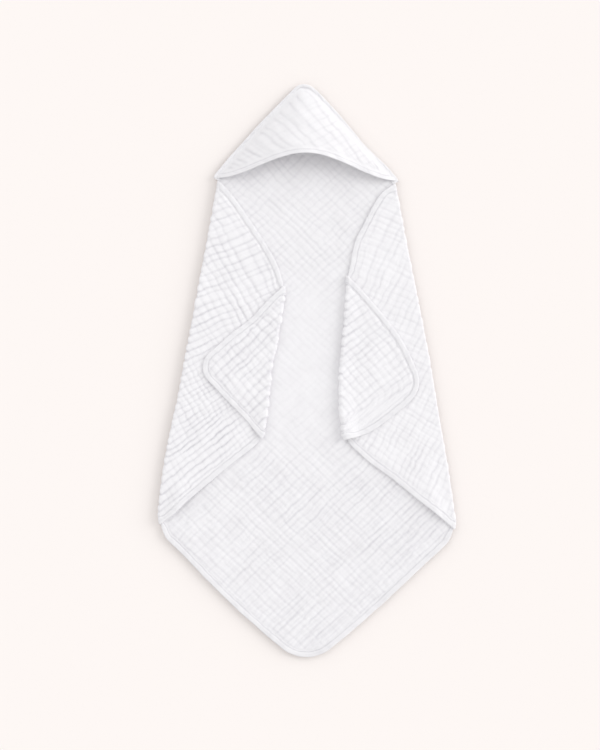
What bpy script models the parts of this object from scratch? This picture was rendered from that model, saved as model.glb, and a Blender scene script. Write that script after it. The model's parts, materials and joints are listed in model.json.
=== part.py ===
"""Hooded baby towel of crinkled muslin, folded for display.

The towel is a square of puffed muslin turned on its corner.  A second layer sewn
over the top corner makes the hood, whose front edge stands open like an arch.  Both
side corners are folded over the body, and their points are turned back outward.
Each fold is a straight hinge line, so the cloth between two folds is one panel, with
its own stretch of binding and its own row of stitching.  Every fold opens by half a
turn, which brings all the layers into the plane of the body.

Metres.  +X right, +Y to the point of the hood, +Z up, the cloth lies on Z = 0.
"""

import math

import bmesh
import bpy
from mathutils import Vector

# Overall sizes of the folded towel
NECK_Y = 0.3710             # height of the neck line, where the hood begins
HOOD_LENGTH = 0.1965        # neck line to the hood's point, before rounding
BODY_LENGTH = 0.6798        # neck line to the lower ends of the side folds
POINT_LENGTH = 0.2670       # lower ends of the side folds to the bottom point
HOOD_HALF_WIDTH = 0.1807    # middle to the hood's lower corners
NECK_HALF_WIDTH = 0.1740    # middle to the upper ends of the side folds
FOOT_HALF_WIDTH = 0.2937    # middle to the lower ends of the side folds
HOOD_POINT_SHIFT = -0.0054  # the hood's point lies a little to the left
BODY_POINT_SHIFT = -0.0017  # and so does the bottom point
HOOD_RADIUS = 0.024         # rounding of the hood's point
POINT_RADIUS = 0.056        # rounding of the bottom point
FOOT_RADIUS = 0.050         # rounding where a side fold meets the bottom hem

# The two sides are folded by hand and differ a little.  "out" is measured from the
# middle, "down" from the neck line; a bow is how far a hem curves out of straight.
LEFT = {
    "name": "left", "sign": -1,
    "hood_corner_rise": 0.0029, "foot_drop": -0.0042,
    "tip_fold_top_out": 0.0442, "tip_fold_top_down": 0.2045,
    "tip_fold_end_out": 0.0833, "tip_fold_end_down": 0.5030,
    "tip_corner_out": 0.2171, "tip_corner_down": 0.3594,
    "tip_corner_radius": 0.046,
    "upper_bow": 0.012, "tip_upper_bow": 0.002,
}
RIGHT = {
    "name": "right", "sign": 1,
    "hood_corner_rise": -0.0029, "foot_drop": 0.0042,
    "tip_fold_top_out": 0.0777, "tip_fold_top_down": 0.1838,
    "tip_fold_end_out": 0.0622, "tip_fold_end_down": 0.5049,
    "tip_corner_out": 0.2299, "tip_corner_down": 0.4022,
    "tip_corner_radius": 0.043,
    "upper_bow": 0.018, "tip_upper_bow": -0.012,
}

# The cloth and its edges
CLOTH = 0.0040              # puffed muslin, all its layers
LIP = 0.0012                # the same muslin pressed flat inside the binding
BINDING_WALL = 0.0005       # one side of the folded binding tape
HEM_WIDTH = 0.0130          # visible width of the binding
TAPER = 0.0050              # the cloth swells to full thickness over this width
FIT_GAP = 0.0003            # clearance between pieces that touch
LAYER_GAP = 0.0005          # air between one folded layer and the next
STITCH_INSET = 0.0025       # stitching from the binding's inner edge
THREAD_WIDTH = 0.0008
THREAD_HEIGHT = 0.0003

# The hood
HOOD_CLOTH = 0.0035         # the hood's own layer, stretched a little thinner
FRONT_GAP = 0.0006          # clearance inside the curved front binding
HOOD_PUFF = 0.042           # rise of the front edge in the middle
HOOD_FRONT_ARCH = 0.0545    # the front edge curves back this far towards the point
FRONT_HEM = 0.0120          # visible width of the front edge's binding
FRONT_TAPER = 0.0030        # the hood's layer swells to full thickness over this width
ARCH_SHARPNESS = 2.0        # how soon the arch leaves the hood's corners
PUFF_SHARPNESS = 1.25       # how full the hood stands near its sides
PUFF_FALL = 1.15            # how the puff dies away towards the point
PUFF_GRID = 0.015           # spacing of the cuts that let the layer curve

# Clearances at the folds
NECK_CLEARANCE = 0.008      # a flap begins this far below the neck line
FOOT_CLEARANCE = 0.008      # and ends this far before the end of its fold
ARC_STEPS = 8               # facets in a rounded corner
PLAIN_STEPS = 12            # rounds of the search for the front edge's straight ends
BOW_STEPS = 5               # facets in a bowed hem
FRONT_STEPS = 18            # facets in the arch of the hood's front edge
RIM_SPACING = 0.0075        # longest facet of the pieces along the curved front edge
FRONT_SPARE = 0.001         # spare length of the front edge's straight ends

# Heights of the stacked layers
FLAP_Z = CLOTH + LAYER_GAP
TIP_Z = 2 * FLAP_Z
SLOT = LIP + 2 * FIT_GAP
BINDING_HEIGHT = SLOT + 2 * BINDING_WALL
HOOD_SLOT = 2 * LIP + 3 * FIT_GAP
HOOD_BINDING_HEIGHT = HOOD_SLOT + 2 * BINDING_WALL
FRONT_BINDING_HEIGHT = LIP + 2 * FRONT_GAP + 2 * BINDING_WALL
HOOD_BINDING_Z = 0.0002
BACK_LIP_Z = HOOD_BINDING_Z + BINDING_WALL + FIT_GAP
HOOD_LIP_Z = BACK_LIP_Z + LIP + FIT_GAP
HOOD_MIDDLE_Z = HOOD_LIP_Z + LIP / 2
HOOD_LIFT = CLOTH + LAYER_GAP + HOOD_CLOTH / 2 - HOOD_MIDDLE_Z

# Distances in from a hem
LIP_EDGE = BINDING_WALL + FIT_GAP
LIP_ROOT = HEM_WIDTH + FIT_GAP
FULL_EDGE = HEM_WIDTH + TAPER
FRONT_LIP_ROOT = FRONT_HEM + FIT_GAP
FRONT_FULL_EDGE = FRONT_HEM + FRONT_TAPER

COLOURS = {
    "muslin": ((0.86, 0.85, 0.87), 0.95),
    "binding": ((0.87, 0.86, 0.88), 0.9),
    "thread": ((0.80, 0.79, 0.81), 0.7),
}


def clear_scene():
    """Remove every object of the scene."""
    for old in list(bpy.data.objects):
        bpy.data.objects.remove(old, do_unlink=True)


def cross(a, b):
    """Z component of the cross product of two plane vectors."""
    return a.x * b.y - a.y * b.x


def left_normal(direction):
    """The direction turned a quarter turn to the left."""
    return Vector((-direction.y, direction.x))


def along(start, end, share):
    """The point that lies this share of the way from start to end."""
    return start + (end - start) * share


# Landmarks

def neck_point(out):
    """The point of the neck line at this signed distance from the middle."""
    tilt = (RIGHT["hood_corner_rise"] - LEFT["hood_corner_rise"]) / (2 * HOOD_HALF_WIDTH)
    return Vector((out, NECK_Y + tilt * out))


def hood_corner(side):
    """Lower corner of the hood on one side."""
    return neck_point(side["sign"] * HOOD_HALF_WIDTH)


def fold_top(side):
    """Upper end of a side fold."""
    return neck_point(side["sign"] * NECK_HALF_WIDTH)


def fold_end(side):
    """Lower end of a side fold."""
    return Vector((side["sign"] * FOOT_HALF_WIDTH, NECK_Y - BODY_LENGTH - side["foot_drop"]))


def landmark(side, name):
    """A landmark of one side from its distances out and down."""
    return Vector((side["sign"] * side[name + "_out"], NECK_Y - side[name + "_down"]))


HOOD_POINT = Vector((HOOD_POINT_SHIFT, NECK_Y + HOOD_LENGTH))
BODY_POINT = Vector((BODY_POINT_SHIFT, NECK_Y - BODY_LENGTH - POINT_LENGTH))


# Outlines: a list of points, and the kind of each edge from one point to the next

def corner_arc(before, corner, after, radius):
    """The points that round a corner off, or the corner itself."""
    if not radius:
        return [corner]
    to_before = (before - corner).normalized()
    to_after = (after - corner).normalized()
    half_angle = math.acos(max(-1.0, min(1.0, to_before.dot(to_after)))) / 2
    middle = corner + (to_before + to_after).normalized() * radius / math.sin(half_angle)
    first = corner + to_before * radius / math.tan(half_angle) - middle
    last = corner + to_after * radius / math.tan(half_angle) - middle
    sweep = math.atan2(cross(first, last), first.dot(last))
    points = []
    for step in range(ARC_STEPS + 1):
        angle = sweep * step / ARC_STEPS
        turned = Vector((first.x * math.cos(angle) - first.y * math.sin(angle),
                         first.x * math.sin(angle) + first.y * math.cos(angle)))
        points.append(middle + turned)
    return points


def bowed_edge(start, end, bow):
    """The points between two ends of an edge that bows out to its right."""
    if not bow:
        return []
    outward = -left_normal((end - start).normalized())
    points = []
    for step in range(1, BOW_STEPS):
        share = step / BOW_STEPS
        points.append(along(start, end, share) + outward * bow * math.sin(math.pi * share))
    return points


def outline(corners):
    """Points and edge kinds from corners of (point, radius, kind, bow), counterclockwise.

    The kind and the bow belong to the edge that leaves the corner, and a rounded
    corner takes the kind "hem".
    """
    arcs = []
    for index, (point, radius, _, _) in enumerate(corners):
        before = corners[index - 1][0]
        after = corners[(index + 1) % len(corners)][0]
        arcs.append(corner_arc(before, point, after, radius))
    points = []
    kinds = []
    for index, (_, _, kind, bow) in enumerate(corners):
        arc = arcs[index]
        points += arc
        kinds += ["hem"] * (len(arc) - 1)
        between = bowed_edge(arc[-1], arcs[(index + 1) % len(arcs)][0], bow)
        points += between
        kinds += [kind] * (len(between) + 1)
    return points, kinds


def mirrored_order(corners):
    """The same corners the other way round, each keeping its own edge."""
    backwards = corners[::-1]
    turned = []
    for index, (point, radius, _, _) in enumerate(backwards):
        _, _, kind, bow = backwards[(index + 1) % len(backwards)]
        turned.append((point, radius, kind, bow))
    return turned


def side_outline(side, corners):
    """An outline listed for the left side, turned round for the right side."""
    return outline(corners if side["sign"] < 0 else mirrored_order(corners))


def ring(shape, distances):
    """The outline moved inward, by a distance for each kind of edge."""
    points, kinds = shape
    count = len(points)
    moved = []
    for index, point in enumerate(points):
        back = (point - points[index - 1]).normalized()
        ahead = (points[(index + 1) % count] - point).normalized()
        back_normal = left_normal(back)
        ahead_normal = left_normal(ahead)
        back_distance = distances[kinds[index - 1]]
        ahead_distance = distances[kinds[index]]
        turn = cross(back, ahead)
        if abs(turn) < 1e-4:
            moved.append(point + back_normal * back_distance)
            continue
        slide = (ahead_distance - back_distance * back_normal.dot(ahead_normal)) / turn
        moved.append(point + back_normal * back_distance - back * slide)
    return moved


def hem_ring(shape, distance, front_distance):
    """The outline moved in from its hems, with only a clearance left at its folds."""
    return ring(shape, {"hem": distance, "lower": distance, "front": front_distance, "fold": FIT_GAP / 2})


def stretch(shape, kind):
    """Indices of the points along the one stretch of edges of a kind."""
    kinds = shape[1]
    count = len(kinds)
    index = next(i for i in range(count) if kinds[i] == kind and kinds[i - 1] != kind)
    indices = [index]
    while kinds[index] == kind:
        index = (index + 1) % count
        indices.append(index)
    return indices


# Solids

def material(kind):
    """One Principled material for a piece."""
    colour, roughness = COLOURS[kind]
    made = bpy.data.materials.new(kind)
    made.use_nodes = True
    shader = made.node_tree.nodes["Principled BSDF"]
    shader.inputs["Base Color"].default_value = (*colour, 1.0)
    shader.inputs["Roughness"].default_value = roughness
    shader.inputs["Metallic"].default_value = 0.0
    return made


def finish_piece(name, bm, kind, parent, shape_z=None):
    """Turn a bmesh into a named object on its hinge."""
    if shape_z:
        for vertex in bm.verts:
            vertex.co.z += shape_z(vertex.co)
    bmesh.ops.recalc_face_normals(bm, faces=bm.faces)
    bmesh.ops.triangulate(bm, faces=bm.faces)
    bmesh.ops.translate(bm, verts=bm.verts, vec=-parent.location)
    mesh = bpy.data.meshes.new(name)
    bm.to_mesh(mesh)
    bm.free()
    mesh.materials.append(material(kind))
    piece = bpy.data.objects.new(name, mesh)
    bpy.context.scene.collection.objects.link(piece)
    piece.parent = parent
    return piece


def add_ring(bm, points, z):
    """New vertices around one ring at one height."""
    return [bm.verts.new((point.x, point.y, z)) for point in points]


def panel_mesh(shape, z, thickness, lip_z):
    """A panel of full thickness, tapered to a thin lip along its hems."""
    kinds = shape[1]
    edge = hem_ring(shape, LIP_EDGE, LIP_EDGE)
    root = hem_ring(shape, LIP_ROOT, FRONT_LIP_ROOT)
    full = hem_ring(shape, FULL_EDGE, FRONT_FULL_EDGE)
    bm = bmesh.new()
    profile = [
        add_ring(bm, full, z), add_ring(bm, root, lip_z), add_ring(bm, edge, lip_z),
        add_ring(bm, edge, lip_z + LIP), add_ring(bm, root, lip_z + LIP),
        add_ring(bm, full, z + thickness),
    ]
    bm.faces.new(profile[0][::-1])
    bm.faces.new(profile[-1])
    count = len(kinds)
    for index, kind in enumerate(kinds):
        after = (index + 1) % count
        if kind == "fold":
            bm.faces.new([level[index] for level in profile[::-1]] + [level[after] for level in profile])
            continue
        for low, high in zip(profile, profile[1:]):
            bm.faces.new((low[index], low[after], high[after], high[index]))
    return bm


def swept_mesh(sections):
    """A closed solid from equal sections, one after another."""
    bm = bmesh.new()
    loops = [[bm.verts.new(point) for point in section] for section in sections]
    count = len(loops[0])
    for near, far in zip(loops, loops[1:]):
        for index in range(count):
            after = (index + 1) % count
            bm.faces.new((near[index], near[after], far[after], far[index]))
    bm.faces.new(loops[0][::-1])
    bm.faces.new(loops[-1])
    return bm


def refined(sections, spacing):
    """The same sections with others put between them, none further apart than the spacing."""
    finer = [sections[0]]
    for near, far in zip(sections, sections[1:]):
        steps = math.ceil((Vector(far[0]) - Vector(near[0])).length / spacing)
        for step in range(1, steps + 1):
            share = step / steps
            finer.append([along(Vector(a), Vector(b), share) for a, b in zip(near, far)])
    return finer


def strip_mesh(shape, indices, profile, side_distance=None, spacing=None):
    """A strip along a hem; its profile lists (distance in from the hem, height)."""
    rings = {}
    for distance, _ in profile:
        if distance not in rings:
            rings[distance] = hem_ring(shape, side_distance or distance, distance)
    sections = []
    for index in indices:
        section = []
        for distance, height in profile:
            point = rings[distance][index]
            section.append((point.x, point.y, height))
        sections.append(section)
    if spacing:
        sections = refined(sections, spacing)
    return swept_mesh(sections)


def binding_profile(z, height, width=HEM_WIDTH):
    """The folded tape: a slot that is open towards the cloth."""
    wall = BINDING_WALL
    return [(0.0, z), (width, z), (width, z + wall), (wall, z + wall),
            (wall, z + height - wall), (width, z + height - wall),
            (width, z + height), (0.0, z + height)]


def thread_profile(z, width=HEM_WIDTH):
    """A flat thread that lies on a binding of this width."""
    inner = width - STITCH_INSET + THREAD_WIDTH / 2
    outer = width - STITCH_INSET - THREAD_WIDTH / 2
    return [(outer, z), (inner, z), (inner, z + THREAD_HEIGHT), (outer, z + THREAD_HEIGHT)]


def add_panel(name, shape, layer_z, parent):
    """One folded layer of the towel."""
    lip_z = layer_z + (CLOTH - LIP) / 2
    finish_piece(name, panel_mesh(shape, layer_z, CLOTH, lip_z), "muslin", parent)


def add_binding(name, shape, indices, layer_z, parent):
    """The binding along one hem of a layer, and its stitching."""
    low = layer_z + (CLOTH - BINDING_HEIGHT) / 2
    tape = strip_mesh(shape, indices, binding_profile(low, BINDING_HEIGHT))
    finish_piece(name + "_binding", tape, "binding", parent)
    thread = strip_mesh(shape, indices, thread_profile(low + BINDING_HEIGHT + FIT_GAP))
    finish_piece(name + "_stitching", thread, "thread", parent)


def hinge(name, point, z):
    """An empty on the axis of a fold."""
    empty = bpy.data.objects.new(name, None)
    bpy.context.scene.collection.objects.link(empty)
    empty.location = (point.x, point.y, z)
    return empty


# The body

def add_body():
    """The middle of the towel with its bottom hem."""
    base = hinge("main", Vector((0.0, 0.0)), 0.0)
    shape = outline([
        (fold_top(LEFT), 0, "fold", 0), (fold_end(LEFT), FOOT_RADIUS, "hem", 0),
        (BODY_POINT, POINT_RADIUS, "hem", 0), (fold_end(RIGHT), FOOT_RADIUS, "fold", 0),
        (fold_top(RIGHT), 0, "fold", 0),
    ])
    add_panel("main_panel", shape, 0.0, base)
    add_binding("bottom", shape, stretch(shape, "hem"), 0.0, base)


# The flaps and their turned-back tips

def add_side(side):
    """One folded side: the flap over the body and the tip turned back on it."""
    name = side["name"]
    top = fold_top(side)
    end = fold_end(side)
    down = (end - top).normalized()
    tip_top = landmark(side, "tip_fold_top")
    tip_end = landmark(side, "tip_fold_end")
    tip_corner = landmark(side, "tip_corner")

    flap = hinge(name + "_flap", top, CLOTH + LAYER_GAP / 2)
    flap_shape = side_outline(side, [
        (top + down * NECK_CLEARANCE, 0, "fold", 0), (end - down * FOOT_CLEARANCE, 0, "lower", 0),
        (tip_end, 0, "fold", 0), (tip_top, 0, "hem", side["upper_bow"]),
    ])
    add_panel(name + "_flap_panel", flap_shape, FLAP_Z, flap)
    add_binding(name + "_flap_upper", flap_shape, stretch(flap_shape, "hem"), FLAP_Z, flap)
    add_binding(name + "_flap_lower", flap_shape, stretch(flap_shape, "lower"), FLAP_Z, flap)

    tip = hinge(name + "_tip", tip_top, FLAP_Z + CLOTH + LAYER_GAP / 2)
    tip_shape = side_outline(side, [
        (tip_top, 0, "hem", side["tip_upper_bow"]), (tip_corner, side["tip_corner_radius"], "hem", 0),
        (tip_end, 0, "fold", 0),
    ])
    add_panel(name + "_tip_panel", tip_shape, TIP_Z, tip)
    add_binding(name + "_tip", tip_shape, stretch(tip_shape, "hem"), TIP_Z, tip)


# The hood

def hood_side_distances(point):
    """How far a point lies in from the hood's two side lines."""
    distances = []
    for side in (LEFT, RIGHT):
        direction = (HOOD_POINT - hood_corner(side)).normalized()
        offset = Vector((point.x, point.y)) - hood_corner(side)
        distances.append(abs(cross(direction, offset)))
    return distances


def hood_edge_distance(point):
    """How far a point lies in from the hood's sides and its rounded point."""
    to_left = (hood_corner(LEFT) - HOOD_POINT).normalized()
    to_right = (hood_corner(RIGHT) - HOOD_POINT).normalized()
    half_angle = math.acos(to_left.dot(to_right)) / 2
    middle = HOOD_POINT + (to_left + to_right).normalized() * HOOD_RADIUS / math.sin(half_angle)
    offset = Vector((point.x, point.y)) - middle
    if offset.dot(to_left) < 0 and offset.dot(to_right) < 0:
        return HOOD_RADIUS - offset.length
    return min(hood_side_distances(point))


def hood_front_point(out):
    """The hood's front edge seen from above, an arch that springs from both corners."""
    share = max(-1.0, min(1.0, out / HOOD_HALF_WIDTH))
    arch = max(0.0, math.cos(math.pi / 2 * share)) ** ARCH_SHARPNESS
    return neck_point(out) + Vector((0.0, HOOD_FRONT_ARCH * arch))


def front_straight():
    """How far in from its corners the front edge runs straight, so that its hem fits there."""
    length = FULL_EDGE
    for _ in range(PLAIN_STEPS):
        needed = []
        for side in (LEFT, RIGHT):
            corner = hood_corner(side)
            front = hood_front_point(side["sign"] * (HOOD_HALF_WIDTH - length)) - corner
            angle = front.angle(HOOD_POINT - corner)
            needed.append(FULL_EDGE / math.sin(angle) + FRONT_FULL_EDGE / math.tan(angle))
        length = max(needed) + FRONT_SPARE
    return length


def hood_height(point):
    """How far the hood's layer stands above its place in the side seam."""
    swell = (hood_edge_distance(point) - LIP_ROOT) / (FULL_EDGE - LIP_ROOT)
    lift = HOOD_LIFT * max(0.0, min(1.0, swell))
    left, right = [max(0.0, distance - FULL_EDGE) for distance in hood_side_distances(point)]
    if not left or not right:
        return lift
    across = 4 * left * right / (left + right) ** 2
    front = hood_front_point(point.x).y
    back = HOOD_POINT.y - FULL_EDGE
    share = max(0.0, min(1.0, (point.y - front) / (back - front)))
    return lift + HOOD_PUFF * across ** PUFF_SHARPNESS * (1 - share) ** PUFF_FALL


def cut_into_grid(bm):
    """Cut the hood's flat layer where its height changes slope and along a grid."""
    bmesh.ops.triangulate(bm, faces=bm.faces)
    planes = []
    for side in (LEFT, RIGHT):
        inward = left_normal(hood_corner(side) - HOOD_POINT).normalized() * -side["sign"]
        for distance in (LIP_ROOT, FULL_EDGE):
            point = hood_corner(side) + inward * distance
            planes.append((point.to_3d(), inward.to_3d()))
    columns = math.ceil(HOOD_HALF_WIDTH / PUFF_GRID)
    rows = math.ceil(HOOD_LENGTH / PUFF_GRID)
    planes += [((x * PUFF_GRID, 0, 0), (1, 0, 0)) for x in range(-columns, columns + 1)]
    planes += [((0, NECK_Y + y * PUFF_GRID, 0), (0, 1, 0)) for y in range(rows)]
    for point, normal in planes:
        everything = bm.verts[:] + bm.edges[:] + bm.faces[:]
        bmesh.ops.bisect_plane(bm, geom=everything, dist=1e-5, plane_co=point, plane_no=normal)


def add_hood():
    """The towel's top corner, the layer sewn over it and their edges."""
    hood = hinge("hood", neck_point(0.0), CLOTH + LAYER_GAP / 2)
    corners = [(hood_corner(RIGHT), 0, "hem", 0), (HOOD_POINT, HOOD_RADIUS, "hem", 0)]

    back = outline([(hood_corner(LEFT), 0, "fold", 0)] + corners)
    finish_piece("hood_back_panel", panel_mesh(back, 0.0, CLOTH, BACK_LIP_Z), "muslin", hood)
    edge = stretch(back, "hem")
    tape = strip_mesh(back, edge, binding_profile(HOOD_BINDING_Z, HOOD_BINDING_HEIGHT))
    finish_piece("hood_edge_binding", tape, "binding", hood)
    edge_top = HOOD_BINDING_Z + HOOD_BINDING_HEIGHT
    thread = strip_mesh(back, edge, thread_profile(edge_top + FIT_GAP))
    finish_piece("hood_edge_stitching", thread, "thread", hood)

    reach = HOOD_HALF_WIDTH - front_straight()
    arch = []
    for step in range(FRONT_STEPS + 1):
        out = reach * (2 * step / FRONT_STEPS - 1)
        arch.append((hood_front_point(out), 0, "front", 0))
    front = outline([(hood_corner(LEFT), 0, "front", 0)] + arch + corners)
    layer = panel_mesh(front, HOOD_MIDDLE_Z - HOOD_CLOTH / 2, HOOD_CLOTH, HOOD_LIP_Z)
    cut_into_grid(layer)
    finish_piece("hood_panel", layer, "muslin", hood, hood_height)
    rim = stretch(front, "front")
    rim_low = HOOD_MIDDLE_Z - FRONT_BINDING_HEIGHT / 2
    clear_of_sides = FULL_EDGE + FIT_GAP
    profile = binding_profile(rim_low, FRONT_BINDING_HEIGHT, FRONT_HEM)
    tape = strip_mesh(front, rim, profile, clear_of_sides, RIM_SPACING)
    finish_piece("hood_front_binding", tape, "binding", hood, hood_height)
    rim_top = rim_low + FRONT_BINDING_HEIGHT + FIT_GAP
    profile = thread_profile(rim_top, FRONT_HEM)
    thread = strip_mesh(front, rim, profile, clear_of_sides, RIM_SPACING)
    finish_piece("hood_front_stitching", thread, "thread", hood, hood_height)


def main():
    """Model the whole towel."""
    clear_scene()
    add_body()
    add_side(LEFT)
    add_side(RIGHT)
    add_hood()


main()
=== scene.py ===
"""The look of the hooded baby towel: crinkled muslin, soft bindings and their stitches.

The towel is one square of puffed muslin.  Its body lies flat, both side corners are
folded over it, their points are turned back outward, and a second layer makes the
hood.  Every panel is a closed sheet with a face and a back.  At a fold the upper
panel carries the turn of the cloth with it, down to the panel below.

Metres.  +X right, +Y to the point of the hood, +Z up.
"""

import json
import math

import bmesh
import bpy
import numpy as np
from mathutils import Vector
from mathutils.geometry import delaunay_2d_cdt
from mathutils.kdtree import KDTree
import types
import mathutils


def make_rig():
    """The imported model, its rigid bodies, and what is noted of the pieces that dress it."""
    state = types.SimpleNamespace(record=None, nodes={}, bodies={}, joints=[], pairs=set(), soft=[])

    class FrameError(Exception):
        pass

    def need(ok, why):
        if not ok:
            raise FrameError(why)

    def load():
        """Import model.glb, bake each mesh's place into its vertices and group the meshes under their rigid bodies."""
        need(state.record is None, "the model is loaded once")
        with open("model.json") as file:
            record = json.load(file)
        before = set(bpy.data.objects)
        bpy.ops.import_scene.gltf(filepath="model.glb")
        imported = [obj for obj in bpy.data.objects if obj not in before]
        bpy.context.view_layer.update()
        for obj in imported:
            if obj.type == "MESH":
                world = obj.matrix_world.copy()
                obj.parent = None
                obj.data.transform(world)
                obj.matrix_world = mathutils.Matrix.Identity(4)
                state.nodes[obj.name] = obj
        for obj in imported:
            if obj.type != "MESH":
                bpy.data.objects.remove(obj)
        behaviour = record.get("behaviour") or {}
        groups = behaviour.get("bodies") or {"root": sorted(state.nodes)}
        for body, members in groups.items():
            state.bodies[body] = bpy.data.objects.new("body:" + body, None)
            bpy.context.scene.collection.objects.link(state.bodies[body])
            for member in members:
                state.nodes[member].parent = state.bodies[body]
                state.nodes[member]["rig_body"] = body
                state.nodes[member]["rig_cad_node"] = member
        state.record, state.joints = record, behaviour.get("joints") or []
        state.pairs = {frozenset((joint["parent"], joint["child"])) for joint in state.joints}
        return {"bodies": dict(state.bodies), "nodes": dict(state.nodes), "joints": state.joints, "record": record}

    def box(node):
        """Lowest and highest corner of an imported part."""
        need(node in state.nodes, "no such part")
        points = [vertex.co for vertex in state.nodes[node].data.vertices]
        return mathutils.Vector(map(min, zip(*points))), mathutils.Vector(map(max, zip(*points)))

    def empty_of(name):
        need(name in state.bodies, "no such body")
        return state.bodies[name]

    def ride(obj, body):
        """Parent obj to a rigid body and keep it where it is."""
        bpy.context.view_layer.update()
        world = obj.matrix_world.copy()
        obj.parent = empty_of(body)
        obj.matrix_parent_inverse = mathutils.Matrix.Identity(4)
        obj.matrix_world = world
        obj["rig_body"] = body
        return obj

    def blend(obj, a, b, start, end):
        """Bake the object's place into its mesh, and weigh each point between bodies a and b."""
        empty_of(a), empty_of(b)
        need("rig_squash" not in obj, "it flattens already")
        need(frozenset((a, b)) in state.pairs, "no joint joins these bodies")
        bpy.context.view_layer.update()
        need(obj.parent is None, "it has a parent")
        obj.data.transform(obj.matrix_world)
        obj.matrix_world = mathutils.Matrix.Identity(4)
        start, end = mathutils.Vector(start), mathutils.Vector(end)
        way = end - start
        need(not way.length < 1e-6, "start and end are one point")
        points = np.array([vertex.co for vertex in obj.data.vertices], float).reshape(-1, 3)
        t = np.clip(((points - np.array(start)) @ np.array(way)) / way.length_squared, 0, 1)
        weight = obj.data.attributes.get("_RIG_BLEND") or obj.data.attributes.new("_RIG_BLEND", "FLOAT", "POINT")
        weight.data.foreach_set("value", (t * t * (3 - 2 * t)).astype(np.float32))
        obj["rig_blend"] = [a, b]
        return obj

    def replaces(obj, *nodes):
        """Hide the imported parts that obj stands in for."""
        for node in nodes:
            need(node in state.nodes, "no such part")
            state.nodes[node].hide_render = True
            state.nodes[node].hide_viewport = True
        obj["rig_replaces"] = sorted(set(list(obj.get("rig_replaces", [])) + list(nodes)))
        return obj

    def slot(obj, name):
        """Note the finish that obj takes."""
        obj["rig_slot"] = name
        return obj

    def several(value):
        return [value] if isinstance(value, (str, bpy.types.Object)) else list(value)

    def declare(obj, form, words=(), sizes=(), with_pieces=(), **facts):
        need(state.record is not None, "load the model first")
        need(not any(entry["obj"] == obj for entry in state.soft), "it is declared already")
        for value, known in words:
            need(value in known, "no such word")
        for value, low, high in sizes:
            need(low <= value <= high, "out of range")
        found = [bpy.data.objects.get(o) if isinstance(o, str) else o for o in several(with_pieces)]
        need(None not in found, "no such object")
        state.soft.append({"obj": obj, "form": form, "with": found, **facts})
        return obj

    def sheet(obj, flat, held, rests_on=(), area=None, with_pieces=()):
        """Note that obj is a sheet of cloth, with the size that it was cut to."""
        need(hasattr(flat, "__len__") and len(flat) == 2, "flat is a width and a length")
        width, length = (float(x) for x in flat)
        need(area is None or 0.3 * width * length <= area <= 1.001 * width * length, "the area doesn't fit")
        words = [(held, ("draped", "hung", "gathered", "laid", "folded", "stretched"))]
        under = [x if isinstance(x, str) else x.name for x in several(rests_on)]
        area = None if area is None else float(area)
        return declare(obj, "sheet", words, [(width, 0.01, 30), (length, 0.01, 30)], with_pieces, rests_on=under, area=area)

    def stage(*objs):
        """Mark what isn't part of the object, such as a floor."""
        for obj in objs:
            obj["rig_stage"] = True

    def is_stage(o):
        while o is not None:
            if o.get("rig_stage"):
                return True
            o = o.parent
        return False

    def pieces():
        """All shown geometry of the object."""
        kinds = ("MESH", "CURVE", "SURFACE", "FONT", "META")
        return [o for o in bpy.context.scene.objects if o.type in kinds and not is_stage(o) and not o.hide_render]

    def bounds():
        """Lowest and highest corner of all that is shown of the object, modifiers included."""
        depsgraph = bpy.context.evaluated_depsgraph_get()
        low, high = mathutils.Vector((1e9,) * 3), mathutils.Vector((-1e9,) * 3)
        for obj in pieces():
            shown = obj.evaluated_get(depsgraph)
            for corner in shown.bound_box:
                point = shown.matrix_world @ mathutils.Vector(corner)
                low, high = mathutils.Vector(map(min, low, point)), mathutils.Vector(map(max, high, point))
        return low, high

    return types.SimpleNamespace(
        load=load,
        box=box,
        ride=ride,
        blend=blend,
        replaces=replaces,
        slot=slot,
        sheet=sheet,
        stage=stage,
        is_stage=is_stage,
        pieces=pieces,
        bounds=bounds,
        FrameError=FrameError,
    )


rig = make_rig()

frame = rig.load()
cad_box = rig.bounds()

# The cloth
SPACING = 0.0020            # distance between neighbouring points of a panel
CORE = 0.0006               # half the thickness of the cloth where it is tacked
PUFF = 0.0014               # how far a puff stands out on the upper side
BACK_PUFF = 0.7             # and its share of that on the lower side
CRUMPLE = 0.00028           # uneven swelling of the puffs
TACK_DEPTH = 0.0006         # extra depth of a tack line
TACK_WIDTH = 0.0019         # and half its width
FLAP_SCALLOP = 0.0016       # how far the puffs push a side fold out and in
TIP_SCALLOP = 0.0032        # and a tip fold
FOOT_LIFT = 0.0090          # the flap stands up this much beside the lower end of its fold
FOOT_LIFT_REACH = 0.100     # and this far from there the lift has mostly died away
SWAY = 0.0006               # slow rise and fall of a whole layer
SWAY_LENGTH = 0.085         # length of one such rise
BODY_LEVEL = 0.0021         # middle height of the layer that lies on the ground
FLAP_LEVEL = 0.0066
TIP_LEVEL = 0.0111
ROLL_REACH = 0.030          # a tip is rolled up this far beside its fold
HEM_FLATNESS = 0.15         # share of the puffs that is left under a binding
TURN_STEPS = 8              # facets round a fold
HEM_WIDTH = 0.013           # width of the binding
HEM_HALF = 0.0019           # half the thickness of the binding
SEAM_REACH = 1.35           # length of the binding's slanted end at a fold, in widths
HEM_TURN = 0.014            # the binding turns from slanted to square in this length
INSET = 0.2                 # the cloth ends this far inside the binding, in widths
STITCH_PITCH = 0.0032
STITCH_LENGTH = 0.0025
STITCH_WIDTH = 0.0009
STITCH_MARGIN = 0.013       # the row stays this far from the ends of its binding

# Heights between which a piece passes from one body to the next, at its fold
FLAP_BLEND = (0, 0, 0.0036), (0, 0, 0.0044)
TIP_BLEND = (0, 0, 0.0080), (0, 0, 0.0089)

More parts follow.
